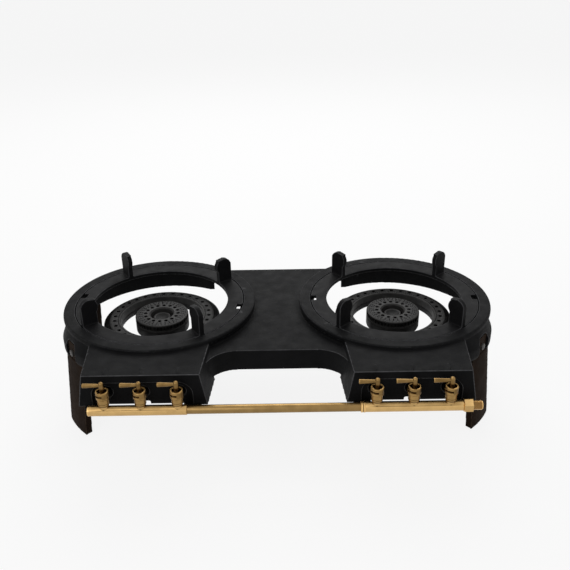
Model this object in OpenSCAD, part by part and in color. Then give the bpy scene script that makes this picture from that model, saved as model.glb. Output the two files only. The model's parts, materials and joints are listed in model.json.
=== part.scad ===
/* [Overall] */
// Height of the hearth rims above the floor
stove_h = 168; // [120:1:240]
// Distance between the centres of the two hearth rings
ring_pitch = 370; // [340:1:420]

/* [Hearth rings] */
// Outer radius of a hearth ring
ring_r = 150; // [142:1:165]
// Depth of a hearth ring below its rim
ring_depth = 48; // [42:1:60]
// Wall thickness of the casting
wall = 6; // [4:0.5:8]
// Rounding of the rim's outer edge
rim_edge = 3; // [2:0.5:4]
// Depth of the lip under the rim
lip_h = 7; // [5:0.5:9]
// Width of the lip past the ring's wall
lip_w = 1.5; // [1:0.5:2.5]
// Depth of the solid rim that carries the pan support
rim_t = 16; // [12:0.5:20]
// Width of the ledge under the pan support
ledge_w = 5; // [3:0.5:8]

/* [Table and skirts] */
// Drop from the rims to the table's top
table_drop = 13; // [9:0.5:14]
// Thickness of the table and apron tops
table_t = 6; // [4:0.5:8]
// Distance from the ring line to the table's front edge
table_front = 131; // [120:1:138]
// Distance from the ring line to the table's back edge
table_back = 134; // [120:1:142]
// Depth of the front skirt below the rims
skirt_front = 46; // [30:1:52]
// Depth of the back skirt below the rims
skirt_back = 35; // [26:1:46]
// Radius of the hollow corner between table and apron
corner_r = 45; // [20:1:48]

/* [Aprons] */
// Drop from the rims to the apron tops
apron_drop = 5.5; // [4:0.5:8]
// Distance from the ring line to the apron's front face
apron_reach = 201; // [195:1:208]
// Width of the apron at its top front edge
apron_w = 161; // [156:1:174]
// Depth of the apron below the rims
apron_depth = 56; // [50:0.5:57]
// Widening of the apron towards the ring, each side, in degrees
apron_taper = 4.5; // [0:0.5:8]
// Outward lean of the apron's sides, in degrees
apron_draft = 10; // [0:0.5:12]
// Thickness of the apron's front wall
front_t = 8; // [6:0.5:10]
// Depth of the arched recess in the front wall
arch_cut = 4; // [2:0.5:5]
// Width of the arched recess
arch_w = 138; // [130:1:144]
// Drop from the rims to the top of the arched recess
arch_drop = 18.5; // [16:0.5:22]
// Radius of the recess's upper corners
arch_r = 20; // [8:1:22]
// Half width of the notch under the middle tube's way
notch_half = 9.5; // [6:0.5:12]
// Height of that notch
notch_h = 5; // [3:0.5:6]
// Radius of the ways to the mixing tubes in the front wall
panel_hole_r = 9.5; // [8:0.5:10]
// Height of the raised mark above each tap
mark_h = 1; // [0.5:0.1:2]

/* [Legs] */
// Angle of a front leg from the left-to-right line, in degrees
leg_angle_front = 37.5; // [33:0.5:38]
// Angle of a back leg from the left-to-right line, in degrees
leg_angle_back = 24.5; // [20:0.5:34]
// Arc that a leg covers round its ring, in degrees
leg_arc = 20; // [16:0.5:20]
// Thickness of a leg
leg_t = 11; // [8:0.5:12]
// Outer radius of the leg at its shoulder
leg_top_r = 155; // [154:0.5:156]
// Outward splay of the foot
leg_splay = 11; // [0:0.5:16]
// Width of the tongue on top of the leg
tongue_w = 34; // [28:1:38]
// Height of the tongue
tongue_h = 28; // [22:1:30]
// Thickness of the tongue
tongue_t = 5; // [4:0.5:5]
// Outer reach of the bulge that covers the tongue
bulge_r = 158; // [157:0.5:161]
// Half angle of the bulge, in degrees
bulge_arc = 30; // [26:0.5:31]
// Drop from the rims to the bulge's top
bulge_top = 8; // [7.5:0.5:10]
// Height of the slope at the bulge's top
bulge_slope = 20; // [14:0.5:24]
// Width of the arched window in front of the tongue
window_w = 31; // [20:1:31]
// Drop from the rims to the window's top
window_drop = 14; // [11:0.5:18]
// Height of the leg screw above the leg's shoulder
leg_screw_h = 12; // [11:0.5:20]

/* [Pan supports] */
// Thickness of the pan support's plate
trivet_t = 6; // [5:0.5:8]
// Radius of the pan support's plate
trivet_r = 131.2; // [128:0.2:134]
// Radius of the hole in the pan support
trivet_hole_r = 106.5; // [100:0.5:112]
// Gap round the plate
trivet_gap = 1.2; // [0.4:0.1:2]
// Number of fins on a pan support
fin_n = 4; // [3:1:6]
// Thickness of a fin
fin_t = 8; // [5:0.5:10]
// Height of a fin above the rim
fin_h = 41; // [30:1:50]
// Radius of a fin's outer top corner
fin_corner = 14; // [4:1:20]
// Slope of a fin's top edge towards the centre, in degrees
fin_slope = 10; // [0:1:20]
// Turn of the left pan support, in degrees
turn_left = 35.5; // [0:0.5:90]
// Turn of the right pan support, in degrees
turn_right = 43.5; // [0:0.5:90]
// Width of a notch in the plate's edge
notch_w = 15; // [6:0.5:20]
// Depth of a notch
notch_d = 8.5; // [6:0.5:12]

/* [Outer ring burner] */
// Outer radius of the outer ring burner
outer_r = 92; // [86:0.5:94]
// Inner radius of the outer ring burner
outer_in_r = 65; // [62:0.5:68]
// Drop from the rims to the top of the outer ring
outer_drop = 27; // [24:0.5:30]
// Width of the bevel on the outer ring
outer_bevel = 11; // [6:0.5:11]
// Height of that bevel
outer_slope = 6; // [4:0.5:7]
// Height of the outer ring's cap
outer_cap_h = 11; // [9:0.5:12]
// Number of ports in the outer ring
outer_port_n = 30; // [12:2:48]

/* [Middle ring burner] */
// Outer radius of the middle ring burner
mid_r = 42; // [38:0.5:46]
// Inner radius of the middle ring burner
mid_in_r = 18; // [17:0.5:19]
// Drop from the rims to the top of the middle ring
mid_drop = 22.5; // [17:0.5:24]
// Height of the middle ring's cap
mid_cap_h = 10; // [7:0.5:12]
// Number of ports in the middle ring
mid_port_n = 18; // [12:1:24]

/* [Centre burner] */
// Radius of the centre burner
centre_r = 14; // [12:0.5:15]
// Drop from the rims to the top of the centre burner
centre_drop = 28; // [24:0.5:32]
// Height of the centre burner's cap
centre_cap_h = 6; // [4:0.5:8]
// Number of ports in the centre burner
centre_port_n = 8; // [4:1:10]

/* [Burner castings] */
// Wall thickness of the burner castings
burner_wall = 4; // [3:0.5:4.5]
// Drop from the rims to the underside of the burner rings
burner_floor = 48; // [46:0.5:50]
// Radius of a port
port_r = 1.6; // [1:0.1:2]
// Outer radius of a mixing tube
tube_r = 10; // [9:0.5:10.5]
// Wall of a mixing tube
tube_wall = 2.5; // [2:0.5:3.5]
// Radius of the mouth of the two ring burners' tubes
bell_r = 14.5; // [12:0.5:14.5]
// Radius of the mouth of the centre burner's tube
bell_small_r = 12; // [11:0.5:13]
// Length of a mouth
bell_l = 16; // [10:1:20]
// Drop from the rims to the axis of the long part of a tube
tube_drop = 60; // [59:0.5:64]
// Length of a tube that slopes down behind its mouth
tube_fall = 46; // [36:1:56]
// Swelling of a mixing tube at its bends
knuckle = 1; // [0.5:0.1:1.5]
// Radius of a burner's foot
foot_r = 6; // [5:0.5:8]
// Height of the feet below the mixing tubes
foot_h = 6; // [5:0.5:12]

/* [Burner bars] */
// Width of a burner bar
bar_w = 20; // [14:1:24]
// Thickness of a burner bar
bar_t = 4; // [3:0.5:6]
// Half length of the bar's low part
bar_half = 118; // [100:1:121]
// Length of the lug at each end of the bar
lug_l = 16; // [12:0.5:17]

/* [Gas pipe] */
// Outer diameter of a manifold
pipe_d = 14.5; // [13.5:0.5:16.5]
// Wall thickness of the brass pipes
pipe_wall = 0.95; // [0.9:0.05:1.2]
// Distance from the aprons' front faces to the pipe's axis
pipe_gap = 14; // [13:0.5:20]
// Drop from the rims to the pipe's axis
pipe_drop = 53; // [52:0.5:56]
// Reach of the left manifold past its ring centre, outwards
left_out = 71; // [68:0.5:80]
// Reach of the left manifold past its ring centre, inwards
left_in = 62; // [61.5:0.5:70]
// Reach of the right manifold past its ring centre, inwards
right_in = 65; // [64:0.5:70]
// Reach of the right manifold past its ring centre, outwards
right_out = 68.5; // [64:0.5:72]
// Outer diameter of the link pipe
link_d = 12.5; // [10.5:0.5:12.5]
// Length of the link pipe inside each manifold
link_in = 8; // [6:0.5:9.5]
// Outer diameter of the coupling
coupling_d = 15.5; // [15:0.5:17]
// Length of the coupling
coupling_l = 6.5; // [5:0.5:10]
// Thickness of the head of the end plug
plug_head = 2; // [1:0.5:4]

/* [Inlet] */
// Size of the inlet nut across its flats
nut_af = 17; // [16:0.5:19]
// Length of the inlet nut
nut_l = 12; // [8:0.5:14]
// Outside diameter of the inlet's quarter-inch gas thread
inlet_d = 13.16; // [12.5:0.01:14]
// Length of the inlet's thread
inlet_l = 13.5; // [10:0.5:18]
// Bore of the inlet
inlet_bore = 8; // [5:0.5:9]

/* [Taps] */
// Distance from one tap to the next
tap_pitch = 50; // [48:0.5:51]
// Radius of a tap's body
tap_r = 8; // [7.5:0.25:9]
// Radius of a tap's bonnet
bonnet_r = 9.25; // [8.5:0.25:10]
// Radius of the tap's base
tap_base_r = 7; // [6.5:0.25:7.75]
// Radius of the tap's plug
plug_r = 5; // [4.5:0.25:5.5]
// Radius of the tap's stem
stem_r = 3.5; // [3.25:0.25:4]
// Running clearance round the plug and the stem
tap_clear = 0.05; // [0.03:0.01:0.09]
// Drop from the rims to the joint between body and bonnet
bonnet_drop = 31; // [30:0.25:32]
// Height of the bonnet
bonnet_h = 11; // [10.5:0.5:12]
// Drop from the rims to the lever's axis
lever_drop = 11.5; // [10:0.5:14]
// Length of the lever from the stem's axis
lever_l = 25.25; // [20:0.25:34]
// Radius of the lever at its free end
lever_r = 3.3; // [2.8:0.1:4]
// Swing of the lever that the stop slot allows, in degrees
lever_swing = 90; // [60:5:100]
// Reach of a jet behind its tap's axis
jet_l = 24; // [20:0.5:30]

/* [Clips] */
// Width of the cradle of a manifold clip
clip_w = 5; // [4:0.5:6]
// Wall of the cradle of a manifold clip
clip_wall = 3; // [2:0.5:3.5]
// Distance of a clip's cradle from its ring centre
clip_x = 59; // [58:0.25:59.5]

/* [Screws] */
// Radius of the screws
screw_r = 3; // [2.5:0.25:3]
// Radius of a screw's head
head_r = 5; // [4.5:0.25:6]
// Height of a screw's head
head_h = 3; // [2.5:0.5:5]

/* [Hidden] */
$fn = 96;

// A little extra length where one shape cuts or joins another
eps = 1;
// Gap between solids that would otherwise touch on a curve
seat = 0.3;
// Gap round a screw in the hole that takes its thread
thread_gap = 0.05;
// Gap round a screw in a clearance hole
hole_gap = 0.3;

// The pan support's ledge and the rim's hole
rebate_r = trivet_r + trivet_gap;
rim_hole_r = rebate_r - ledge_w;
plate_under = table_drop + table_t;
apron_under = apron_drop + table_t;
wall_r = ring_r - lip_w;

// The pipe's outer and inner radii
pipe_r = pipe_d / 2;
pipe_bore_r = pipe_r - pipe_wall;
clip_r = pipe_r + thread_gap + clip_wall;
nut_corner_r = nut_af / 2 / cos(30);

// Front and back reach of the whole object, which place the ring line
pipe_reach = apron_reach + pipe_gap;
front_reach = pipe_reach + max(bonnet_r, nut_af / 2, coupling_d / 2);
ring_y = (front_reach - ring_r) / 2;

// Heights of a tap, measured from the rims
boss_top = pipe_drop - pipe_r - 1.5;
jet_drop = bonnet_drop + 4;
plug_floor = bonnet_drop + 10;
stem_top = lever_drop - 5.2;
cup_r = stem_r + 3;
cup_d = 6.4;
bonnet_edge = 0.9;
pin_r = 1;
lever_neck = 1.1;
slot_drop = bonnet_drop - bonnet_h + cup_d + seat;
slot_h = 2.5;
slot_side = 0.15;
gas_way_r = 2;
plug_way_r = 1.5;
jet_thread_r = 3;
jet_hex_af = 7.5;
jet_hex_l = 5.5;
jet_tip_r = 2;
jet_bore_r = 0.8;

// Mouths of the mixing tubes
mouth_y = -(apron_reach - front_t - eps);
tube_in_r = tube_r - tube_wall;

// Centre lines of the ring castings
outer_mid = (outer_r + outer_in_r) / 2;
mid_mid = (mid_r + mid_in_r) / 2;
mid_port_turn = -37;

// Clips and the bosses that carry them
clip_t = 3;
clip_boss_r = 6.5;
clip_boss_x = apron_w / 2 - wall - 1;
clip_boss_y = -(apron_reach - front_t - 5);
clip_run = front_t + 5 + clip_boss_r;
cradle_from = 80;
cradle_arc = 80;
strap_past = 1;
clip_screw_in = 12;

// Lugs that carry the burner bars
lug_x = ring_r - wall - lug_l;
lug_run = lug_l + wall / 2;
lug_drop = ring_depth - 1;
lug_screw_x = lug_x + lug_l / 2;
bar_drop = tube_drop + tube_r + foot_h;
bar_screw_in = tube_wall + foot_h - 1.5;

// Plan circle of a bulge, through its outermost point and the points where it leaves the wall
bulge_c = (bulge_r * bulge_r - wall_r * wall_r) / (2 * (bulge_r - wall_r * cos(bulge_arc)));
bulge_fall = bulge_slope / 2 - 1.5;
bulge_foot_h = 6;
bulge_foot_in = 2.5;

// Leg heights in the ring's frame, where the rim is at zero
shoulder_z = -ring_depth;
tongue_r = leg_top_r - 2;
window_in_r = tongue_r - 1;
leg_screw_z = shoulder_z + leg_screw_h;
leg_nut_h = 5;
leg_screw_past = 2;
screw_slot = 1.2;
nut_face = ring_r - wall - seat - thread_gap;

iron = [0.14, 0.14, 0.15];
leg_brown = [0.27, 0.22, 0.20];
brass = [0.76, 0.63, 0.40];
steel = [0.55, 0.55, 0.56];

// Places its children in the frame of a ring: side is -1 for left and 1 for right
module at_ring(side) {
    translate([side * ring_pitch / 2, ring_y, stove_h]) children();
}

// Places its children in the frame of a leg: end is -1 for front and 1 for back
module at_leg(side, end) {
    angle = end < 0 ? leg_angle_front : leg_angle_back;
    turn = side > 0 ? end * angle : 180 - end * angle;
    at_ring(side) rotate([0, 0, turn]) children();
}

// Places its children on the axis of tap number 1 to 6, counted from the left
module at_tap(number) {
    side = number < 4 ? -1 : 1;
    step = (number - 1) % 3 - 1;
    translate([side * ring_pitch / 2 + step * tap_pitch, ring_y - pipe_reach, stove_h]) children();
}

// A round bar between two points
module rod(a, b, r) {
    d = b - a;
    len = norm(d);
    translate(a) rotate([0, acos(d[2] / len), atan2(d[1], d[0])]) cylinder(r = r, h = len);
}

// A bar along a list of points, with a round knuckle at each of them
module run(points, r, knuckle_r) {
    for (i = [0 : len(points) - 2]) rod(points[i], points[i + 1], r);
    for (p = points) translate(p) sphere(r = knuckle_r);
}

// A regular hexagon prism with its flats a given distance apart
module hex(af, h) {
    cylinder(r = af / 2 / cos(30), h = h, $fn = 6);
}

// One ring's outer shape with its lipped rim and its two bulges, cut level below
module ring_outer(side) {
    difference() {
        union() {
            at_ring(side) translate([0, 0, -ring_depth - eps]) rotate_extrude() {
                square([wall_r, ring_depth + eps - rim_edge]);
                translate([0, ring_depth + eps - lip_h]) square([ring_r, lip_h - rim_edge]);
                square([ring_r - rim_edge, ring_depth + eps]);
                translate([ring_r - rim_edge, ring_depth + eps - rim_edge]) circle(r = rim_edge);
            }
            for (end = [-1, 1]) bulge(side, end);
        }
        at_ring(side) translate([0, 0, -ring_depth - 2 * eps]) cylinder(r = bulge_r + eps, h = 2 * eps);
    }
}

// The space inside one ring, below and above the ledge
module ring_inner(side) {
    at_ring(side) {
        translate([0, 0, -apron_depth - eps]) cylinder(r = ring_r - wall, h = apron_depth + eps - rim_t);
        translate([0, 0, -rim_t - eps]) cylinder(r = rim_hole_r, h = rim_t + 2 * eps);
        translate([0, 0, -trivet_t]) cylinder(r = rebate_r, h = trivet_t + eps);
    }
}

// An apron's block, with sides that widen towards the ring and lean outwards
module apron_block(half_w, reach, top, bottom) {
    difference() {
        translate([-half_w - 40, -reach, -bottom]) cube([2 * half_w + 80, reach, bottom - top]);
        for (s = [0, 1]) mirror([s, 0, 0])
            translate([half_w, -reach, -top]) rotate([0, 0, -apron_taper]) rotate([0, -apron_draft, 0])
                translate([0, -ring_r, -ring_r]) cube([ring_r, reach + 2 * ring_r, 2 * ring_r]);
    }
}

// The arched outline of the recess in an apron's front wall
module arch_outline() {
    top = -arch_drop;
    translate([-arch_w / 2, -apron_depth - eps]) square([arch_w, apron_depth + eps + top - arch_r]);
    translate([-arch_w / 2 + arch_r, -apron_depth - eps]) square([arch_w - 2 * arch_r, apron_depth + eps + top]);
    for (s = [-1, 1]) translate([s * (arch_w / 2 - arch_r), top - arch_r]) circle(r = arch_r);
}

// The cuts in an apron's front wall: the recess and the ways for the three tubes
module front_cuts(side) {
    at_ring(side) {
        translate([0, -apron_reach + arch_cut, 0]) rotate([90, 0, 0]) linear_extrude(arch_cut + eps) arch_outline();
        for (step = [-1, 0, 1]) translate([step * tap_pitch, -apron_reach - eps, -jet_drop]) rotate([-90, 0, 0])
            cylinder(r = panel_hole_r, h = front_t + 2 * eps);
        translate([-notch_half, -apron_reach - eps, -apron_depth - eps])
            cube([2 * notch_half, front_t + 2 * eps, notch_h + eps]);
    }
}

// The hollow corner between the table's front and an apron's inner side, in plan
module corner_plan(side, r, inset) {
    x = apron_w / 2 + 3;
    difference() {
        translate([-side * x - (side > 0 ? corner_r : 2 * wall), -table_front - corner_r])
            square([corner_r + 2 * wall, corner_r + inset]);
        translate([-side * (x + corner_r), -table_front - corner_r]) circle(r = r);
    }
}

// The bulge on a ring's wall that covers a leg's tongue, turned about an axis of its own
module bulge(side, end) {
    r = bulge_r - bulge_c;
    at_leg(side, end) translate([bulge_c, 0, 0]) rotate_extrude() polygon([
        [0, -ring_depth - eps], [r - bulge_foot_in, -ring_depth - eps], [r, -ring_depth + bulge_foot_h],
        [r, -bulge_top - bulge_slope], [r - bulge_fall, -bulge_top], [0, -bulge_top]]);
}

// The arched window in a bulge, in front of the tongue and its screw
module window() {
    arch = window_w / 2;
    difference() {
        intersection() {
            translate([0, 0, -ring_depth - eps]) cylinder(r = bulge_r + 2 * eps, h = ring_depth);
            union() {
                translate([ring_r / 2, -arch, -ring_depth - eps])
                    cube([ring_r, window_w, ring_depth + eps - window_drop - arch]);
                translate([ring_r / 2, 0, -window_drop - arch]) rotate([0, 90, 0]) cylinder(r = arch, h = ring_r);
            }
        }
        translate([0, 0, -ring_depth - 2 * eps]) cylinder(r = window_in_r, h = ring_depth + 2 * eps);
    }
}

// The shape of a leg's tongue, grown by a gap for its cavity
module tongue_shape(gap, below) {
    z = shoulder_z - below;
    intersection() {
        difference() {
            translate([0, 0, z]) cylinder(r = tongue_r + gap, h = tongue_h + below + gap);
            translate([0, 0, z - eps]) cylinder(r = tongue_r - tongue_t - gap, h = tongue_h + below + gap + 2 * eps);
        }
        translate([ring_r / 2, -tongue_w / 2 - gap, z]) cube([ring_r, tongue_w + 2 * gap, tongue_h + below + gap]);
    }
}

// The radial hole of a leg's screw
module leg_screw_hole() {
    translate([ring_r - 2 * wall, 0, leg_screw_z]) rotate([0, 90, 0])
        cylinder(r = screw_r + hole_gap, h = 4 * wall);
}

// The one-piece casting: two hearth rings, the table between them and the two aprons
module stove_body() color(iron) {
    difference() {
        union() {
            for (side = [-1, 1]) {
                ring_outer(side);
                at_ring(side) apron_block(apron_w / 2, apron_reach, apron_drop, apron_depth);
                at_ring(side) translate([0, 0, -skirt_front]) linear_extrude(skirt_front - table_drop)
                    corner_plan(side, corner_r, wall);
            }
            translate([-ring_pitch / 2, ring_y, stove_h]) {
                translate([0, -table_front, -plate_under]) cube([ring_pitch, table_front + table_back, table_t]);
                translate([0, -table_front, -skirt_front]) cube([ring_pitch, wall, skirt_front - table_drop]);
                translate([0, table_back - wall, -skirt_back]) cube([ring_pitch, wall, skirt_back - table_drop]);
            }
        }
        for (side = [-1, 1]) {
            ring_inner(side);
            at_ring(side) apron_block(apron_w / 2 - wall, apron_reach - front_t, apron_under, apron_depth + eps);
            at_ring(side) translate([0, 0, -apron_depth]) linear_extrude(apron_depth - plate_under)
                corner_plan(side, corner_r + wall, 2 * wall);
            front_cuts(side);
            for (end = [-1, 1]) at_leg(side, end) {
                tongue_shape(seat, eps);
                window();
                leg_screw_hole();
            }
        }
        translate([-ring_pitch / 2, ring_y - table_front + wall, stove_h - apron_depth])
            cube([ring_pitch, table_front + table_back - 2 * wall, apron_depth - plate_under]);
    }
    difference() {
        for (side = [-1, 1]) at_ring(side) {
            rim_ring();
            for (s = [-1, 1]) translate([s * (lug_x + lug_run / 2) - lug_run / 2, -bar_w / 2, -lug_drop])
                cube([lug_run, bar_w, lug_drop - rim_t + eps]);
            for (s = [-1, 1]) translate([s * clip_boss_x, clip_boss_y, -apron_depth])
                cylinder(r = clip_boss_r, h = apron_depth - apron_drop - eps);
            for (step = [-1, 0, 1]) translate([step * tap_pitch - 1, -apron_reach + 4, -apron_drop - eps])
                cube([2, 12, mark_h + eps]);
        }
        for (side = [-1, 1]) at_ring(side) {
            for (s = [-1, 1]) translate([s * lug_screw_x, 0, -lug_drop - eps])
                cylinder(r = screw_r + thread_gap, h = bar_screw_in + eps);
            for (s = [-1, 1]) translate([s * clip_boss_x, clip_boss_y, -apron_depth - eps])
                cylinder(r = screw_r + thread_gap, h = clip_screw_in + eps);
        }
    }
}

// The solid ring under the rim, which closes the wall where table and apron join it
module rim_ring() {
    difference() {
        translate([0, 0, -rim_t]) cylinder(r = ring_r - wall + eps, h = rim_t - trivet_t);
        translate([0, 0, -rim_t - eps]) cylinder(r = rim_hole_r, h = rim_t + eps);
    }
}

// One fin of a pan support, seen from its side, with its foot at the outer edge
module fin_side() {
    w = trivet_r - trivet_hole_r;
    difference() {
        union() {
            translate([0, -eps]) square([w, fin_h - fin_corner + eps]);
            translate([0, -eps]) square([w - fin_corner, fin_h + eps]);
            translate([w - fin_corner, fin_h - fin_corner]) circle(r = fin_corner);
        }
        translate([w - fin_corner, fin_h]) rotate(fin_slope) translate([-2 * w, 0]) square([2 * w, fin_h]);
    }
}

// A loose pan support: a flat plate with upright fins and two notches in its edge
module trivet(side, turn) color(iron) at_ring(side) rotate([0, 0, turn]) {
    difference() {
        translate([0, 0, -trivet_t]) cylinder(r = trivet_r, h = trivet_t);
        translate([0, 0, -trivet_t - eps]) cylinder(r = trivet_hole_r, h = trivet_t + 2 * eps);
        for (s = [0, 180]) rotate([0, 0, s - 180 / fin_n])
            translate([trivet_r - notch_d, -notch_w / 2, -trivet_t - eps]) cube([2 * notch_d, notch_w, trivet_t + 2 * eps]);
    }
    intersection() {
        for (i = [0 : fin_n - 1]) rotate([0, 0, i * 360 / fin_n]) translate([trivet_hole_r, fin_t / 2, 0])
            rotate([90, 0, 0]) linear_extrude(fin_t) fin_side();
        translate([0, 0, -trivet_t]) cylinder(r = trivet_r - 0.5, h = trivet_t + fin_h + eps);
    }
}

// A splayed leg: a curved blade that follows its ring, with a tongue on top
module leg(side, end) color(leg_brown) at_leg(side, end) difference() {
    union() {
        rotate([0, 0, -leg_arc / 2]) rotate_extrude(angle = leg_arc) polygon([
            [leg_top_r - leg_t, shoulder_z],
            [leg_top_r, shoulder_z],
            [leg_top_r + leg_splay, -stove_h],
            [leg_top_r + leg_splay - leg_t, -stove_h]]);
        tongue_shape(0, eps);
    }
    leg_screw_hole();
}

// The four screws that hold the legs, with slotted heads
module leg_screws() color(steel) for (side = [-1, 1]) for (end = [-1, 1]) at_leg(side, end) {
    translate([0, 0, leg_screw_z]) rotate([0, 90, 0]) {
        difference() {
            translate([0, 0, tongue_r]) cylinder(r = head_r, h = head_h);
            translate([-head_r - eps, -screw_slot / 2, tongue_r + head_h - screw_slot])
                cube([2 * head_r + 2 * eps, screw_slot, screw_slot + eps]);
        }
        translate([0, 0, nut_face - leg_nut_h - leg_screw_past])
            cylinder(r = screw_r, h = tongue_r - nut_face + leg_nut_h + leg_screw_past + eps);
    }
}

// The four nuts inside the rings' walls
module leg_nuts() color(steel) for (side = [-1, 1]) for (end = [-1, 1]) at_leg(side, end) {
    translate([nut_face - leg_nut_h, 0, leg_screw_z]) rotate([0, 90, 0]) difference() {
        hex(2 * head_r, leg_nut_h);
        translate([0, 0, -eps]) cylinder(r = screw_r + thread_gap, h = leg_nut_h + 2 * eps);
    }
}

// The cap of the outer ring burner: a bevelled ring, hollow below, with ports
module outer_cap(side) color(iron) at_ring(side) {
    seam = outer_drop + outer_cap_h;
    difference() {
        rotate_extrude() polygon([
            [outer_in_r, -seam], [outer_in_r, -outer_drop], [outer_r - outer_bevel, -outer_drop],
            [outer_r, -outer_drop - outer_slope], [outer_r, -seam], [outer_r - burner_wall, -seam],
            [outer_r - burner_wall, -outer_drop - outer_slope - 2], [outer_r - outer_bevel - 1, -outer_drop - burner_wall],
            [outer_in_r + burner_wall, -outer_drop - burner_wall], [outer_in_r + burner_wall, -seam]]);
        for (i = [0 : outer_port_n - 1]) rotate([0, 0, i * 360 / outer_port_n])
            translate([outer_in_r + burner_wall + port_r + 1, 0, -seam]) cylinder(r = port_r, h = outer_cap_h + eps);
    }
}

// The trough and mixing tube of the outer ring burner
module outer_base(side) color(iron) at_ring(side) {
    seam = outer_drop + outer_cap_h;
    x = -tap_pitch;
    y = -sqrt(outer_mid * outer_mid - x * x);
    difference() {
        union() {
            translate([0, 0, -burner_floor]) ring_solid(outer_in_r, outer_r, burner_floor - seam);
            tube_solid(x, bell_r, [x, y]);
            for (s = [-1, 1]) foot(s * outer_mid);
        }
        translate([0, 0, -burner_floor + burner_wall])
            ring_solid(outer_in_r + burner_wall, outer_r - burner_wall, burner_floor - seam);
        tube_bore(x, bell_r, [x, y]);
        for (s = [-1, 1]) foot_hole(s * outer_mid);
    }
}

// A flat ring with square edges
module ring_solid(r_in, r_out, h) {
    difference() {
        cylinder(r = r_out, h = h);
        translate([0, 0, -eps]) cylinder(r = r_in, h = h + 2 * eps);
    }
}

// The points of a mixing tube from its mouth to the riser under its ring
function tube_path(x, target) = [
    [x, mouth_y + bell_l, -jet_drop],
    [x, mouth_y + bell_l + tube_fall, -tube_drop],
    [target[0], target[1], -tube_drop]];

// The outside of a mixing tube, with its mouth and riser
module tube_solid(x, mouth_r, target) {
    translate([x, mouth_y, -jet_drop]) rotate([-90, 0, 0]) cylinder(r1 = mouth_r, r2 = tube_r, h = bell_l);
    run(tube_path(x, target), tube_r, tube_r + knuckle);
    translate([target[0], target[1], -tube_drop]) cylinder(r = tube_r, h = tube_drop - burner_floor + burner_wall / 2);
}

// The gas way of a mixing tube
module tube_bore(x, mouth_r, target) {
    translate([x, mouth_y - eps, -jet_drop]) rotate([-90, 0, 0])
        cylinder(r1 = mouth_r - tube_wall + eps / 2, r2 = tube_in_r, h = bell_l + eps);
    run(tube_path(x, target), tube_in_r, tube_in_r + knuckle / 2);
    translate([target[0], target[1], -tube_drop]) cylinder(r = tube_in_r, h = tube_drop - burner_floor + burner_wall + eps);
}

// A burner's foot, which stands on the burner bar
module foot(x) {
    translate([x, 0, -bar_drop]) cylinder(r = foot_r, h = bar_drop - burner_floor + burner_wall / 2);
}

// The screw hole in a burner's foot
module foot_hole(x) {
    translate([x, 0, -bar_drop - eps]) cylinder(r = screw_r + thread_gap, h = bar_screw_in + eps);
}

// The cap of the middle ring burner
module middle_cap(side) color(iron) at_ring(side) {
    seam = mid_drop + mid_cap_h;
    difference() {
        rotate_extrude() polygon([
            [mid_in_r, -seam], [mid_in_r, -mid_drop - 2], [mid_in_r + 2, -mid_drop], [mid_r - 3, -mid_drop],
            [mid_r, -mid_drop - 3], [mid_r, -seam], [mid_r - burner_wall, -seam],
            [mid_r - burner_wall, -mid_drop - burner_wall - 1], [mid_in_r + burner_wall, -mid_drop - burner_wall - 1],
            [mid_in_r + burner_wall, -seam]]);
        for (i = [0 : mid_port_n - 1]) rotate([0, 0, (i + 0.5) * 360 / mid_port_n])
            translate([mid_r - burner_wall - port_r - 1, 0, -seam]) cylinder(r = port_r, h = mid_cap_h + eps);
    }
}

// The trough and mixing tube of the middle ring burner
module middle_base(side) color(iron) at_ring(side) {
    seam = mid_drop + mid_cap_h;
    target = [mid_mid * cos(mid_port_turn), mid_mid * sin(mid_port_turn)];
    difference() {
        union() {
            translate([0, 0, -burner_floor]) ring_solid(mid_in_r, mid_r, burner_floor - seam);
            tube_solid(tap_pitch, bell_r, target);
            for (s = [-1, 1]) foot(s * mid_mid);
        }
        translate([0, 0, -burner_floor + burner_wall])
            ring_solid(mid_in_r + burner_wall, mid_r - burner_wall, burner_floor - seam);
        tube_bore(tap_pitch, bell_r, target);
        for (s = [-1, 1]) foot_hole(s * mid_mid);
    }
}

// The cap of the centre burner, with side ports
module centre_cap(side) color(iron) at_ring(side) {
    seam = centre_drop + centre_cap_h;
    difference() {
        translate([0, 0, -seam]) union() {
            cylinder(r = centre_r, h = centre_cap_h - 2);
            translate([0, 0, centre_cap_h - 2]) cylinder(r1 = centre_r, r2 = centre_r - 4, h = 2);
        }
        translate([0, 0, -seam - eps]) cylinder(r = centre_r - burner_wall, h = eps + centre_cap_h / 2);
        for (i = [0 : centre_port_n - 1]) rotate([0, 0, i * 360 / centre_port_n])
            translate([0, 0, -seam]) rotate([0, 90, 0]) cylinder(r = port_r, h = centre_r + eps);
    }
}

// The cup and mixing tube of the centre burner
module centre_base(side) color(iron) at_ring(side) {
    seam = centre_drop + centre_cap_h;
    difference() {
        union() {
            translate([0, 0, -burner_floor]) cylinder(r = centre_r, h = burner_floor - seam);
            tube_solid(0, bell_small_r, [0, 0]);
            foot(0);
        }
        translate([0, 0, -burner_floor + burner_wall]) cylinder(r = centre_r - burner_wall, h = burner_floor);
        tube_bore(0, bell_small_r, [0, 0]);
        foot_hole(0);
    }
}

// Where the screws of a burner bar stand: the lugs and the burners' feet
function bar_foot_x() = [-outer_mid, -mid_mid, 0, mid_mid, outer_mid];

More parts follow.
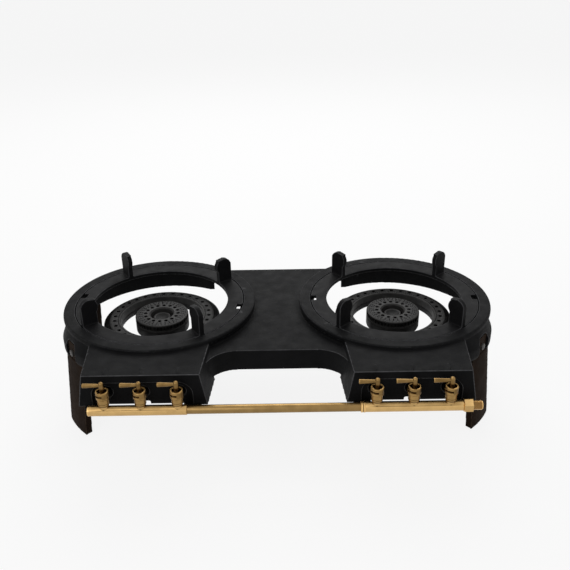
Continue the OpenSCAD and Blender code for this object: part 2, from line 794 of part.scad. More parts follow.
// The steel bar under one hearth, bent down between its two lugs
module burner_bar(side) color(steel) at_ring(side) difference() {
    end_x = lug_x + lug_l - 1;
    union() {
        translate([-bar_half, -bar_w / 2, -bar_drop - bar_t]) cube([2 * bar_half, bar_w, bar_t]);
        for (s = [-1, 1]) {
            translate([s * (bar_half - bar_t / 2) - bar_t / 2, -bar_w / 2, -bar_drop - bar_t])
                cube([bar_t, bar_w, bar_drop + bar_t - lug_drop]);
            translate([s * (bar_half + end_x - bar_t) / 2 - (end_x - bar_half + bar_t) / 2, -bar_w / 2, -lug_drop - bar_t])
                cube([end_x - bar_half + bar_t, bar_w, bar_t]);
        }
    }
    for (x = bar_foot_x()) translate([x, 0, -bar_drop - bar_t - eps]) cylinder(r = screw_r + hole_gap, h = bar_t + 2 * eps);
    for (s = [-1, 1]) translate([s * lug_screw_x, 0, -lug_drop - bar_t - eps])
        cylinder(r = screw_r + hole_gap, h = bar_t + 2 * eps);
}

// An upright screw with a hexagon head below
module hex_screw(length) {
    translate([0, 0, -head_h]) hex(2 * head_r, head_h);
    cylinder(r = screw_r, h = length - 1);
}

// The screws that hold the burner bars and the burners
module bar_screws() color(steel) for (side = [-1, 1]) at_ring(side) {
    for (x = bar_foot_x()) translate([x, 0, -bar_drop - bar_t]) hex_screw(bar_t + bar_screw_in);
    for (s = [-1, 1]) translate([s * lug_screw_x, 0, -lug_drop - bar_t]) hex_screw(bar_t + bar_screw_in);
}

// A brass manifold with three bosses, from x0 to x1 beside its ring centre
module manifold(side, x0, x1) color(brass) {
    translate([side * ring_pitch / 2, ring_y - pipe_reach, stove_h - pipe_drop]) difference() {
        union() {
            translate([x0, 0, 0]) rotate([0, 90, 0]) cylinder(r = pipe_r, h = x1 - x0);
            for (step = [-1, 0, 1]) translate([step * tap_pitch, 0, 0])
                cylinder(r = tap_base_r - 1, h = pipe_drop - boss_top);
        }
        translate([x0 - eps, 0, 0]) rotate([0, 90, 0]) cylinder(r = pipe_bore_r, h = x1 - x0 + 2 * eps);
        for (step = [-1, 0, 1]) translate([step * tap_pitch, 0, 0]) cylinder(r = gas_way_r, h = pipe_drop);
    }
}

// Places its children on the pipe's axis, with the pipe along their Z
module on_pipe(x) {
    translate([x, ring_y - pipe_reach, stove_h - pipe_drop]) rotate([0, 90, 0]) children();
}

// The thin pipe that links the two manifolds
module link_pipe() color(brass) {
    x0 = -ring_pitch / 2 + left_in - link_in;
    x1 = ring_pitch / 2 - right_in + link_in;
    on_pipe(x0) difference() {
        cylinder(r = link_d / 2, h = x1 - x0);
        translate([0, 0, -eps]) cylinder(r = link_d / 2 - pipe_wall, h = x1 - x0 + 2 * eps);
    }
}

// The coupling at the right manifold's inner end
module coupling() color(brass) {
    on_pipe(ring_pitch / 2 - right_in - coupling_l) difference() {
        cylinder(r = coupling_d / 2, h = coupling_l);
        translate([0, 0, -eps]) cylinder(r = link_d / 2 + thread_gap, h = coupling_l + 2 * eps);
    }
}

// The plug in the left manifold's outer end
module end_plug() color(brass) on_pipe(-ring_pitch / 2 - left_out) {
    translate([0, 0, -plug_head]) cylinder(r = pipe_r, h = plug_head);
    cylinder(r = pipe_bore_r - thread_gap, h = 6);
}

// The hexagon nut on the inlet
module inlet_nut() color(brass) on_pipe(ring_pitch / 2 + right_out) difference() {
    hex(nut_af, nut_l);
    translate([0, 0, -eps]) cylinder(r = pipe_bore_r, h = nut_l + 2 * eps);
}

// The inlet nipple: a neck inside the nut and a threaded end for the gas hose
module inlet_nipple() color(brass) on_pipe(ring_pitch / 2 + right_out) difference() {
    union() {
        translate([0, 0, -8]) cylinder(r = pipe_bore_r - thread_gap, h = nut_l + 8 + eps);
        translate([0, 0, nut_l]) cylinder(r = inlet_d / 2, h = inlet_l - 1);
        translate([0, 0, nut_l + inlet_l - 1]) cylinder(r1 = inlet_d / 2, r2 = inlet_d / 2 - 1, h = 1);
    }
    translate([0, 0, -8 - eps]) cylinder(r = inlet_bore / 2, h = nut_l + inlet_l + 8 + 2 * eps);
}

// The body of a tap, with its bore for the plug and its hole for the jet
module tap_body(number) color(brass) at_tap(number) difference() {
    union() {
        translate([0, 0, -boss_top]) cylinder(r = tap_base_r, h = boss_top - bonnet_drop);
        translate([0, 0, -plug_floor - 2]) cylinder(r1 = tap_base_r, r2 = tap_r, h = 2);
        translate([0, 0, -plug_floor]) cylinder(r = tap_r, h = plug_floor - bonnet_drop);
    }
    translate([0, 0, -plug_floor]) cylinder(r = plug_r + tap_clear, h = plug_floor);
    translate([0, 0, -boss_top - eps]) cylinder(r = gas_way_r, h = boss_top);
    translate([0, 0, -jet_drop]) rotate([-90, 0, 0]) cylinder(r = jet_thread_r + thread_gap, h = tap_r + eps);
}

// A wedge of a circle, from angle a0 to angle a1
module wedge(r, h, a0, a1) {
    rotate([0, 0, a0]) rotate_extrude(angle = a1 - a0) square([r, h]);
}

// The bonnet of a tap: a cup round the stem, with a slot that stops the lever
module tap_bonnet(number) color(brass) at_tap(number) difference() {
    straight = bonnet_h - bonnet_edge;
    union() {
        translate([0, 0, -bonnet_drop]) cylinder(r = bonnet_r, h = straight);
        translate([0, 0, -bonnet_drop + straight]) cylinder(r1 = bonnet_r, r2 = bonnet_r - bonnet_edge, h = bonnet_edge);
    }
    translate([0, 0, -bonnet_drop - eps]) cylinder(r = stem_r + tap_clear, h = bonnet_h + 2 * eps);
    translate([0, 0, -bonnet_drop + bonnet_h - cup_d]) cylinder(r = cup_r, h = cup_d + eps);
    translate([0, 0, -slot_drop]) stop_slot();
}

// The slot that the stop pin sweeps, with ends that stand parallel to the pin
module stop_slot() {
    half = pin_r + slot_side;
    wedge(bonnet_r + eps, slot_h, 180, 180 + lever_swing);
    for (turn = [0, lever_swing]) rotate([0, 0, turn]) translate([-bonnet_r - eps, -half, 0])
        cube([bonnet_r + eps, 2 * half, slot_h]);
}

// The turning part of a tap: plug, stem, stop pin and lever, shut with the lever to the left
module tap_lever(number) color(brass) at_tap(number) difference() {
    union() {
        translate([0, 0, -plug_floor + seat]) cylinder(r = plug_r, h = plug_floor - bonnet_drop - 2 * seat);
        translate([0, 0, -bonnet_drop - 1]) cylinder(r = stem_r, h = bonnet_drop + 1 - stem_top - stem_r);
        translate([0, 0, -stem_top - stem_r]) sphere(r = stem_r);
        translate([0, 0, -slot_drop + slot_h / 2]) rotate([0, -90, 0]) cylinder(r = pin_r, h = bonnet_r - 0.5);
        translate([0, 0, -lever_drop]) rotate([0, -90, 0]) cylinder(r1 = stem_r - lever_neck, r2 = lever_r, h = lever_l - 1);
        translate([1 - lever_l, 0, -lever_drop]) rotate([0, -90, 0]) cylinder(r1 = lever_r, r2 = lever_r - 0.8, h = 1);
    }
    translate([0, 0, -plug_floor]) cylinder(r = plug_way_r, h = plug_floor - jet_drop);
    translate([0, 0, -jet_drop]) rotate([0, 90, 0]) cylinder(r = plug_way_r, h = plug_r + eps);
}

// The six jets, each screwed into the back of its tap
module jets() color(brass) for (number = [1 : 6]) at_tap(number) {
    translate([0, 0, -jet_drop]) rotate([-90, 0, 0]) difference() {
        union() {
            translate([0, 0, plug_r + 2 * seat]) cylinder(r = jet_thread_r, h = tap_r - plug_r);
            translate([0, 0, tap_r]) hex(jet_hex_af, jet_hex_l);
            translate([0, 0, tap_r + jet_hex_l]) cylinder(r1 = jet_thread_r, r2 = jet_tip_r, h = jet_l - tap_r - jet_hex_l);
        }
        cylinder(r = jet_bore_r, h = jet_l + eps);
    }
}

// Where clip 1 to 4 stands, and the way it faces
module at_clip(number) {
    side = number < 3 ? -1 : 1;
    out = number % 2 == 1 ? -1 : 1;
    at_ring(side) mirror([out < 0 ? 1 : 0, 0, 0]) children();
}

// A clip under the foot of an apron, with a cradle brazed to the back of its manifold
module clip(number) color(iron) at_clip(number) difference() {
    union() {
        translate([clip_x + clip_w / 2, -pipe_reach, -pipe_drop]) rotate([0, -90, 0])
            rotate([0, 0, cradle_from]) rotate_extrude(angle = cradle_arc) square([clip_r, clip_w]);
        translate([clip_x - clip_w / 2 - strap_past, -pipe_reach + pipe_r + 1, -apron_depth - clip_t])
            cube([clip_boss_x + clip_boss_r - clip_x + clip_w / 2 + strap_past, pipe_gap + clip_run - pipe_r - 1, clip_t]);
    }
    translate([clip_x - clip_w / 2 - eps, -pipe_reach, -pipe_drop]) rotate([0, 90, 0])
        cylinder(r = pipe_r + thread_gap, h = clip_w + 2 * eps);
    translate([clip_x + clip_w / 2 + strap_past, -pipe_reach - eps, -apron_depth - clip_t - eps])
        cube([clip_boss_x, nut_corner_r + 2 * eps, clip_t + 2 * eps]);
    translate([clip_boss_x, clip_boss_y, -apron_depth - clip_t - eps])
        cylinder(r = screw_r + hole_gap, h = clip_t + 2 * eps);
}

// The screws that hold the four clips
module clip_screws() color(steel) for (number = [1 : 4]) at_clip(number) {
    translate([clip_boss_x, clip_boss_y, -apron_depth - clip_t]) hex_screw(clip_t + clip_screw_in);
}

stove_body();
trivet(-1, turn_left);  // trivet_left
trivet(1, turn_right);  // trivet_right
leg(-1, -1);  // leg_front_left
leg(1, -1);  // leg_front_right
leg(-1, 1);  // leg_back_left
leg(1, 1);  // leg_back_right
leg_screws();
leg_nuts();
outer_cap(-1);  // outer_cap_left
outer_base(-1);  // outer_base_left
middle_cap(-1);  // middle_cap_left
middle_base(-1);  // middle_base_left
centre_cap(-1);  // centre_cap_left
centre_base(-1);  // centre_base_left
burner_bar(-1);  // burner_bar_left
outer_cap(1);  // outer_cap_right
outer_base(1);  // outer_base_right
middle_cap(1);  // middle_cap_right
middle_base(1);  // middle_base_right
centre_cap(1);  // centre_cap_right
centre_base(1);  // centre_base_right
burner_bar(1);  // burner_bar_right
bar_screws();
manifold(-1, -left_out, left_in);  // manifold_left
manifold(1, -right_in, right_out);  // manifold_right
link_pipe();
coupling();
end_plug();
inlet_nut();
inlet_nipple();
tap_body(1);  // tap_body_1
tap_body(2);  // tap_body_2
tap_body(3);  // tap_body_3
tap_body(4);  // tap_body_4
tap_body(5);  // tap_body_5
tap_body(6);  // tap_body_6
tap_bonnet(1);  // tap_bonnet_1
tap_bonnet(2);  // tap_bonnet_2
tap_bonnet(3);  // tap_bonnet_3
tap_bonnet(4);  // tap_bonnet_4
tap_bonnet(5);  // tap_bonnet_5
tap_bonnet(6);  // tap_bonnet_6
tap_lever(1);  // tap_lever_1
tap_lever(2);  // tap_lever_2
tap_lever(3);  // tap_lever_3
tap_lever(4);  // tap_lever_4
tap_lever(5);  // tap_lever_5
tap_lever(6);  // tap_lever_6
jets();
clip(1);  // clip_1
clip(2);  // clip_2
clip(3);  // clip_3
clip(4);  // clip_4
clip_screws();
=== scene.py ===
"""The looks of a two-ring cast-iron camping stove with a brass gas pipe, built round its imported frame."""

import json
import math

import bmesh
import bpy
from mathutils import Matrix, Vector

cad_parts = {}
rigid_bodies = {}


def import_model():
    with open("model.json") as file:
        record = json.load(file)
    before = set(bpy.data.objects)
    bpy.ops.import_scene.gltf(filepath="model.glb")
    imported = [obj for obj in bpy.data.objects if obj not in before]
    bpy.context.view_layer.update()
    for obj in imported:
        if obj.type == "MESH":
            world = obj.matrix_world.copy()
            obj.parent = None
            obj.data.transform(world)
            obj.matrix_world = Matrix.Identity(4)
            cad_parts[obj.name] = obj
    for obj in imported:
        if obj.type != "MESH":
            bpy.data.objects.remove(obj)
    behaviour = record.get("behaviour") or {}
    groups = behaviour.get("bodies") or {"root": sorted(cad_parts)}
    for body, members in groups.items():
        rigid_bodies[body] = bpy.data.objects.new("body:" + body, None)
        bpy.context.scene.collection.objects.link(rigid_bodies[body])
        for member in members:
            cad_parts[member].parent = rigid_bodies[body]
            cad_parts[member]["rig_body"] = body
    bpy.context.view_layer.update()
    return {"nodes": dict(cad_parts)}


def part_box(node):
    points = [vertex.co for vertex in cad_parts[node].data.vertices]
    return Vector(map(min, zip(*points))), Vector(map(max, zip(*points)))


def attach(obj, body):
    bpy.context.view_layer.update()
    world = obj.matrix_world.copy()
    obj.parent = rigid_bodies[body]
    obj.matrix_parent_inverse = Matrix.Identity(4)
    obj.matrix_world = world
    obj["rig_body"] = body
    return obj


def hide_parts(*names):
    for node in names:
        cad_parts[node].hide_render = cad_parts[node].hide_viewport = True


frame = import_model()
MM = 0.001
TURN = 2 * math.pi
UP = (0, 0, 1)
# The distance in millimetres within which points are joined
WELD = 0.001

SIDES = ("left", "right")
TAPS = range(1, 7)
CLIPS = range(1, 5)


def node_middle(name):
    """The middle of a CAD node's box."""
    low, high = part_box(name)
    return (low + high) / 2


def top_of(name):
    """The middle of the upper side of a CAD node's box."""
    middle = node_middle(name)
    return Vector((middle.x, middle.y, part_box(name)[1].z))


def foot_of(name):
    """The middle of the lower side of a CAD node's box."""
    middle = node_middle(name)
    return Vector((middle.x, middle.y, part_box(name)[0].z))


def left_end_of(name):
    """The middle of the left side of a CAD node's box."""
    middle = node_middle(name)
    return Vector((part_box(name)[0].x, middle.y, middle.z))


def body_of(name):
    """The CAD body that a node rides on."""
    return frame["nodes"][name]["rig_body"]


# Camera: the photograph's viewpoint, solved from the round rims and the straight pipe.
CAMERA_PLACE = Vector((13.85, -990.9, 721.6)) * MM
CAMERA_YAW = math.radians(-0.05)
CAMERA_PITCH = math.radians(27.23)
CAMERA_ROLL = math.radians(0.93)
CAMERA_LENS = 46.42
CAMERA_SENSOR = 36.0
CAMERA_NEAREST = 0.05
CAMERA_FARTHEST = 50.0


def add_camera():
    """The camera, with its level, tilt and small roll."""
    data = bpy.data.cameras.new("camera")
    data.lens = CAMERA_LENS
    data.sensor_width = CAMERA_SENSOR
    data.clip_start = CAMERA_NEAREST
    data.clip_end = CAMERA_FARTHEST
    camera = bpy.data.objects.new("camera", data)
    bpy.context.scene.collection.objects.link(camera)
    level = Matrix.Rotation(-CAMERA_YAW, 4, "Z") @ Matrix.Rotation(math.pi / 2 - CAMERA_PITCH, 4, "X")
    camera.matrix_world = Matrix.Translation(CAMERA_PLACE) @ level @ Matrix.Rotation(-CAMERA_ROLL, 4, "Z")
    bpy.context.scene.camera = camera


# Lamps: name, place and size in metres, and power in watts.
LAMPS = (
    ("top_back", (0.0, 1.5, 1.7), 1.8, 26),
    ("front_fill", (-1.2, -1.8, 1.6), 1.5, 8),
)
LAMP_TARGET = Vector((0, 0, 0.1))


def add_lamp(name, place, size, power):
    """A soft square lamp that looks from its place at the stove."""
    data = bpy.data.lights.new(name, "AREA")
    data.shape = "SQUARE"
    data.size = size
    data.energy = power
    lamp = bpy.data.objects.new(name, data)
    bpy.context.scene.collection.objects.link(lamp)
    aim = (LAMP_TARGET - Vector(place)).to_track_quat("-Z", "Y")
    lamp.matrix_world = Matrix.Translation(place) @ aim.to_matrix().to_4x4()


def seen_rays(tree):
    """A factor that is 1 for what the camera, a gloss or a clear piece sees, and 0 for light itself."""
    path = tree.nodes.new("ShaderNodeLightPath")
    total = path.outputs["Is Camera Ray"]
    for ray in ("Is Glossy Ray", "Is Transmission Ray"):
        add = tree.nodes.new("ShaderNodeMath")
        add.operation = "MAXIMUM"
        tree.links.new(total, add.inputs[0])
        tree.links.new(path.outputs[ray], add.inputs[1])
        total = add.outputs[0]
    return total


WORLD_LIGHT = 0.45
WORLD_SEEN = 1.0


def add_world():
    """A plain world: white where it is seen or mirrored, softer as a source of light."""
    world = bpy.data.worlds.new("studio")
    bpy.context.scene.world = world
    world.use_nodes = True
    tree = world.node_tree
    ground = tree.nodes["Background"]
    ground.inputs["Color"].default_value = (1, 1, 1, 1)
    strength = tree.nodes.new("ShaderNodeMapRange")
    strength.inputs["To Min"].default_value = WORLD_LIGHT
    strength.inputs["To Max"].default_value = WORLD_SEEN
    tree.links.new(seen_rays(tree), strength.inputs["Value"])
    tree.links.new(strength.outputs[0], ground.inputs["Strength"])


FLOOR_HALF = 12.0
FLOOR_GREY = (0.86, 0.86, 0.86, 1)
FLOOR_GLOW = 0.86


def add_floor():
    """A pale floor that nears white where it is seen and keeps the object's shadow."""
    mesh = bpy.data.meshes.new("floor")
    bm = bmesh.new()
    bmesh.ops.create_grid(bm, x_segments=1, y_segments=1, size=FLOOR_HALF)
    bm.to_mesh(mesh)
    bm.free()
    floor = bpy.data.objects.new("floor", mesh)
    bpy.context.scene.collection.objects.link(floor)
    material = bpy.data.materials.new("pale_floor")
    material.use_nodes = True
    tree = material.node_tree
    shader = tree.nodes["Principled BSDF"]
    shader.inputs["Base Color"].default_value = FLOOR_GREY
    shader.inputs["Roughness"].default_value = 0.9
    shader.inputs["Specular IOR Level"].default_value = 0.1
    glow = tree.nodes.new("ShaderNodeEmission")
    glow.inputs["Strength"].default_value = 1.0
    share = tree.nodes.new("ShaderNodeMath")
    share.operation = "MULTIPLY"
    share.inputs[1].default_value = FLOOR_GLOW
    tree.links.new(seen_rays(tree), share.inputs[0])
    mix = tree.nodes.new("ShaderNodeMixShader")
    tree.links.new(share.outputs[0], mix.inputs[0])
    tree.links.new(shader.outputs[0], mix.inputs[1])
    tree.links.new(glow.outputs[0], mix.inputs[2])
    tree.links.new(mix.outputs[0], tree.nodes["Material Output"].inputs["Surface"])
    mesh.materials.append(material)


def new_material(name):
    """An empty node material with its shader and its Object coordinates."""
    material = bpy.data.materials.new(name)
    material.use_nodes = True
    tree = material.node_tree
    shader = tree.nodes["Principled BSDF"]
    place = tree.nodes.new("ShaderNodeTexCoord")
    return material, tree, shader, place.outputs["Object"]


def stretched(tree, vector, scale):
    """Coordinates scaled by their own amount along each axis."""
    node = tree.nodes.new("ShaderNodeMapping")
    node.inputs["Scale"].default_value = scale
    tree.links.new(vector, node.inputs["Vector"])
    return node.outputs["Vector"]


def noise(tree, vector, scale, detail=2.0, roughness=0.5):
    """A noise texture's factor at a scale in waves per metre."""
    node = tree.nodes.new("ShaderNodeTexNoise")
    node.inputs["Scale"].default_value = scale
    node.inputs["Detail"].default_value = detail
    node.inputs["Roughness"].default_value = roughness
    tree.links.new(vector, node.inputs["Vector"])
    return node.outputs["Fac"]


def ramp(tree, value, stops):
    """A colour ramp through the given stops of position and colour."""
    node = tree.nodes.new("ShaderNodeValToRGB")
    elements = node.color_ramp.elements
    while len(elements) < len(stops):
        elements.new(0.5)
    for element, (position, colour) in zip(elements, stops):
        element.position = position
        element.color = (*colour, 1)
    tree.links.new(value, node.inputs["Fac"])
    return node.outputs["Color"]


def spread(tree, value, low, high, out_low, out_high):
    """A value's range from low to high, mapped onto another range."""
    node = tree.nodes.new("ShaderNodeMapRange")
    ends = {"From Min": low, "From Max": high, "To Min": out_low, "To Max": out_high}
    for socket, amount in ends.items():
        node.inputs[socket].default_value = amount
    tree.links.new(value, node.inputs["Value"])
    return node.outputs["Result"]


def times(tree, first, second):
    """The product of two values."""
    node = tree.nodes.new("ShaderNodeMath")
    node.operation = "MULTIPLY"
    node.use_clamp = True
    tree.links.new(first, node.inputs[0])
    tree.links.new(second, node.inputs[1])
    return node.outputs[0]


def mixed(tree, factor, first, second):
    """A blend from the first colour to the second."""
    node = tree.nodes.new("ShaderNodeMix")
    node.data_type = "RGBA"
    tree.links.new(factor, node.inputs["Factor"])
    for socket, colour in ((node.inputs[6], first), (node.inputs[7], second)):
        if isinstance(colour, tuple):
            socket.default_value = (*colour, 1)
        else:
            tree.links.new(colour, socket)
    return node.outputs[2]


def bump(tree, height, strength, distance, under=None):
    """A bump of a height in metres, laid over another where one is given."""
    node = tree.nodes.new("ShaderNodeBump")
    node.inputs["Strength"].default_value = strength
    node.inputs["Distance"].default_value = distance
    tree.links.new(height, node.inputs["Height"])
    if under is not None:
        tree.links.new(under, node.inputs["Normal"])
    return node.outputs["Normal"]


# Noise scale of the patches that break up the edge wear with its painted highlight, and the painted shade of
# hollows
MARK_PATCHES = 90


def marked(tree, place, name):
    """How far a point is marked, broken up by noise: the edge mark is wear with a painted highlight, the
    hollow mark is painted shade.
    """
    mark = tree.nodes.new("ShaderNodeAttribute")
    mark.attribute_name = name
    patches = spread(tree, noise(tree, place, MARK_PATCHES, 3), 0.35, 0.65, 0.6, 1.0)
    sharp = spread(tree, mark.outputs["Fac"], 0.5, 1.0, 0.0, 1.0)
    return times(tree, sharp, patches)


def worn_lit_and_shaded(tree, place, colour, edge, shade_colour):
    """A colour rubbed paler along the edges, which also paints their highlight, and darkened in the hollow
    corners as painted shade.
    """
    # Edge wear with a painted highlight: sharp edges turn towards the pale edge colour
    colour = mixed(tree, marked(tree, place, "edge_wear_and_highlight"), colour, edge)
    # Painted shade: hollow corners turn towards the shade colour
    return mixed(tree, marked(tree, place, "painted_corner_shade"), colour, shade_colour)


# Colours of the painted shade in hollow corners of iron and brass
IRON_HOLLOW_SHADE = (0.0012, 0.0011, 0.0010)
BRASS_HOLLOW_SHADE = (0.055, 0.030, 0.010)
# Gain of the brass edge colour over its own, for edge wear with a painted highlight
BRASS_EDGE_GAIN = 1.5
STEEL_DARK = (0.020, 0.019, 0.019)
STEEL_PALE = (0.045, 0.042, 0.040)
# The steel's edge colour is wear and a painted highlight
STEEL_EDGE = (0.16, 0.15, 0.14)


def cast_iron(name, dark, pale, edge, gloss, roughness, grain=1.0):
    """Sand-cast iron: fine grain over low swells, patchy, rubbed paler along its edges as wear and a painted
    highlight, and darkened in its hollows as painted shade.
    """
    material, tree, shader, place = new_material(name)
    patches = noise(tree, place, 28, 4, 0.6)
    colour = ramp(tree, patches, [(0.3, dark), (0.72, pale)])
    # Edge wear with a painted highlight, and painted shade in the hollows
    colour = worn_lit_and_shaded(tree, place, colour, edge, IRON_HOLLOW_SHADE)
    tree.links.new(colour, shader.inputs["Base Color"])
    fine = noise(tree, place, 1100, 3, 0.6)
    swell = noise(tree, place, 170, 2)
    normal = bump(tree, swell, 0.3 * grain, 0.0008)
    normal = bump(tree, fine, 0.45 * grain, 0.0004, normal)
    tree.links.new(normal, shader.inputs["Normal"])
    rough = spread(tree, noise(tree, place, 60, 3), 0.3, 0.7, roughness - 0.06, roughness + 0.06)
    tree.links.new(rough, shader.inputs["Roughness"])
    shader.inputs["Specular IOR Level"].default_value = gloss
    return material


def brass(name, grain, dark, pale):
    """Satin brass, faintly uneven, with fine marks at the given waves per metre along each axis, worn and
    painted with a highlight on its edges, and painted with shade in its hollows.
    """
    material, tree, shader, place = new_material(name)
    tone = noise(tree, place, 60, 3)
    colour = ramp(tree, tone, [(0.3, dark), (0.7, pale)])
    # The brass's edge colour, paler than its own, is wear and a painted highlight
    edge = tuple(BRASS_EDGE_GAIN * share for share in pale)
    # Edge wear with a painted highlight, and painted shade in the hollows
    colour = worn_lit_and_shaded(tree, place, colour, edge, BRASS_HOLLOW_SHADE)
    tree.links.new(colour, shader.inputs["Base Color"])
    shader.inputs["Metallic"].default_value = 1.0
    marks = noise(tree, stretched(tree, place, grain), 1.0, 3, 0.6)
    rough = spread(tree, marks, 0.3, 0.7, 0.26, 0.4)
    tree.links.new(rough, shader.inputs["Roughness"])
    tree.links.new(bump(tree, marks, 0.2, 0.0002), shader.inputs["Normal"])
    return material


def dark_steel(name):
    """Blackened steel of the screws and bars, rubbed bare on its edges, which also paints their highlight,
    and darkened in its hollows as painted shade.
    """
    material, tree, shader, place = new_material(name)
    tone = noise(tree, place, 120, 3)
    colour = ramp(tree, tone, [(0.3, STEEL_DARK), (0.7, STEEL_PALE)])
    # Edge wear with a painted highlight, and painted shade in the hollows
    colour = worn_lit_and_shaded(tree, place, colour, STEEL_EDGE, IRON_HOLLOW_SHADE)
    tree.links.new(colour, shader.inputs["Base Color"])
    shader.inputs["Metallic"].default_value = 0.5
    rough = spread(tree, noise(tree, place, 700, 2), 0.3, 0.7, 0.42, 0.6)
    tree.links.new(rough, shader.inputs["Roughness"])
    shader.inputs["Specular IOR Level"].default_value = 0.3
    return material


def new_object(name, mesh):
    """A linked object with a mesh."""
    piece = bpy.data.objects.new(name, mesh)
    bpy.context.scene.collection.objects.link(piece)
    return piece


def mesh_of(bm, name):
    """A mesh made of a finished bmesh."""
    mesh = bpy.data.meshes.new(name)
    bm.to_mesh(mesh)
    bm.free()
    return mesh


def with_modifiers(mesh, modifiers):
    """A mesh after a list of modifiers, each with its kind and its settings."""
    rough = new_object("rough", mesh)
    for kind, settings in modifiers:
        modifier = rough.modifiers.new(kind, kind)
        for key, value in settings.items():
            setattr(modifier, key, value)
    graph = bpy.context.evaluated_depsgraph_get()
    done = bpy.data.meshes.new_from_object(rough.evaluated_get(graph))
    bpy.data.objects.remove(rough)
    bpy.data.meshes.remove(mesh)
    return done


# The angle in radians between two faces at which a point is fully marked: fully worn and painted with a
# highlight on a ridge, fully painted with shade in a hollow
FULL_MARK = 0.55


def as_share(angle):
    """An angle as a share of the angle of the full mark, from 0 to 1."""
    return min(max(angle / FULL_MARK, 0.0), 1.0)


def mark_edges(mesh):
    """Writes how sharply each point stands out, for edge wear with a painted highlight, or lies in a hollow,
    for painted shade, into the mesh's attributes.
    """
    bm = bmesh.new()
    bm.from_mesh(mesh)
    wear_and_highlight = []
    hollow_shade = []
    for vert in bm.verts:
        angles = [edge.calc_face_angle_signed(0.0) for edge in vert.link_edges]
        # Convex angles give the edge wear with its painted highlight
        wear_and_highlight.append(as_share(max(angles, default=0.0)))
        # Concave angles give the painted shade of hollows
        hollow_shade.append(as_share(-min(angles, default=0.0)))
    bm.free()
    for name, values in (("edge_wear_and_highlight", wear_and_highlight), ("painted_corner_shade", hollow_shade)):
        attribute = mesh.attributes.new(name, "FLOAT", "POINT")
        attribute.data.foreach_set("value", values)


def place_piece(name, mesh, node, finish, smooth_angle=None):
    """Makes a piece of a mesh, in the place of its CAD node, with its body and finish."""
    mesh.name = name
    mesh.materials.clear()
    mesh.materials.append(finish)
    mark_edges(mesh)
    for polygon in mesh.polygons:
        polygon.use_smooth = True
    if smooth_angle is not None:
        mesh.set_sharp_from_angle(angle=math.radians(smooth_angle))
    piece = new_object(name, mesh)
    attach(piece, body_of(node))
    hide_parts(node)
    return piece


def merged_copy(name):
    """A bmesh of a CAD node's mesh, with its loose triangles joined."""
    bm = bmesh.new()
    bm.from_mesh(frame["nodes"][name].data)
    bmesh.ops.remove_doubles(bm, verts=bm.verts, dist=WELD * MM)
    return bm


def cast_piece(node, finish, grid, rounds, keep):
    """A CAD node as a sand casting, with every edge and hollow corner rounded."""
    mesh = mesh_of(merged_copy(node), node)
    mesh = with_modifiers(mesh, [
        ("REMESH", {"mode": "VOXEL", "voxel_size": grid * MM}),
        ("SMOOTH", {"factor": 0.5, "iterations": rounds}),
        ("DECIMATE", {"ratio": keep})])
    return place_piece(node + "_cast", mesh, node, finish)


# Angles in degrees: edges sharper than the first are eased, and past the others the shading has an edge.
EASE_ANGLE = 38
EASED_SMOOTH = 32
TURNED_SMOOTH = 35
HEAD_SMOOTH = 30


def eased_piece(node, finish, width):
    """A CAD node with its sharp edges eased by a small width in millimetres."""
    bm = merged_copy(node)
    bmesh.ops.dissolve_limit(bm, angle_limit=math.radians(1.0), verts=bm.verts, edges=bm.edges)
    mesh = with_modifiers(mesh_of(bm, node), [
        ("BEVEL", {"width": width * MM, "segments": 2, "limit_method": "ANGLE",
                   "angle_limit": math.radians(EASE_ANGLE), "use_clamp_overlap": True})])
    return place_piece(node + "_eased", mesh, node, finish, EASED_SMOOTH)


def turned(bm, profile, steps=48):
    """A lathe shape in millimetres: an outline of radius and height turned once about Z."""
    verts = [bm.verts.new((radius, 0, height)) for radius, height in profile]
    edges = [bm.edges.new(pair) for pair in zip(verts, verts[1:])]
    bmesh.ops.spin(bm, geom=verts + edges, cent=(0, 0, 0), axis=UP, angle=TURN, steps=steps, use_merge=True)
    bmesh.ops.remove_doubles(bm, verts=bm.verts, dist=WELD)
    bmesh.ops.recalc_face_normals(bm, faces=bm.faces)


def to_place(bm, place, turn=None):
    """Turns a shape in millimetres and moves it to its place in metres."""
    if turn is not None:
        bmesh.ops.transform(bm, matrix=turn, verts=bm.verts)
    bmesh.ops.scale(bm, vec=(MM, MM, MM), verts=bm.verts)
    bmesh.ops.translate(bm, vec=place, verts=bm.verts)


def turned_piece(name, node, finish, profile, place, turn=None, steps=48):
    """A turned piece in the place of its CAD node."""
    bm = bmesh.new()
    turned(bm, profile, steps)
    to_place(bm, place, turn)
    return place_piece(name, mesh_of(bm, name), node, finish, TURNED_SMOOTH)


ALONG_X = Matrix.Rotation(math.pi / 2, 4, "Y")
AGAINST_X = Matrix.Rotation(-math.pi / 2, 4, "Y")


# Burner heads, in millimetres from the middle of the head's flat top.
PORT_SEGMENTS = 10
PORT_DEPTH = 7.0
BAND_REACH = 0.3
HEAD_WELD = 0.01


def flat_sector(bm, inner, outer, sectors, columns):
    """The outline of one flat sector of a ring: two radial edges and two arcs."""
    turn = Matrix.Rotation(-TURN / sectors / 2, 4, "Z")
    ends = [bm.verts.new(turn @ Vector((radius, 0, 0))) for radius in (inner, outer)]
    bm.edges.new(ends)
    lasts = []
    for vert in ends:
        arc = bmesh.ops.spin(bm, geom=[vert], cent=(0, 0, 0), axis=UP, angle=TURN / sectors, steps=columns)
        lasts.append(arc["geom_last"][0])
    bm.edges.new(lasts)


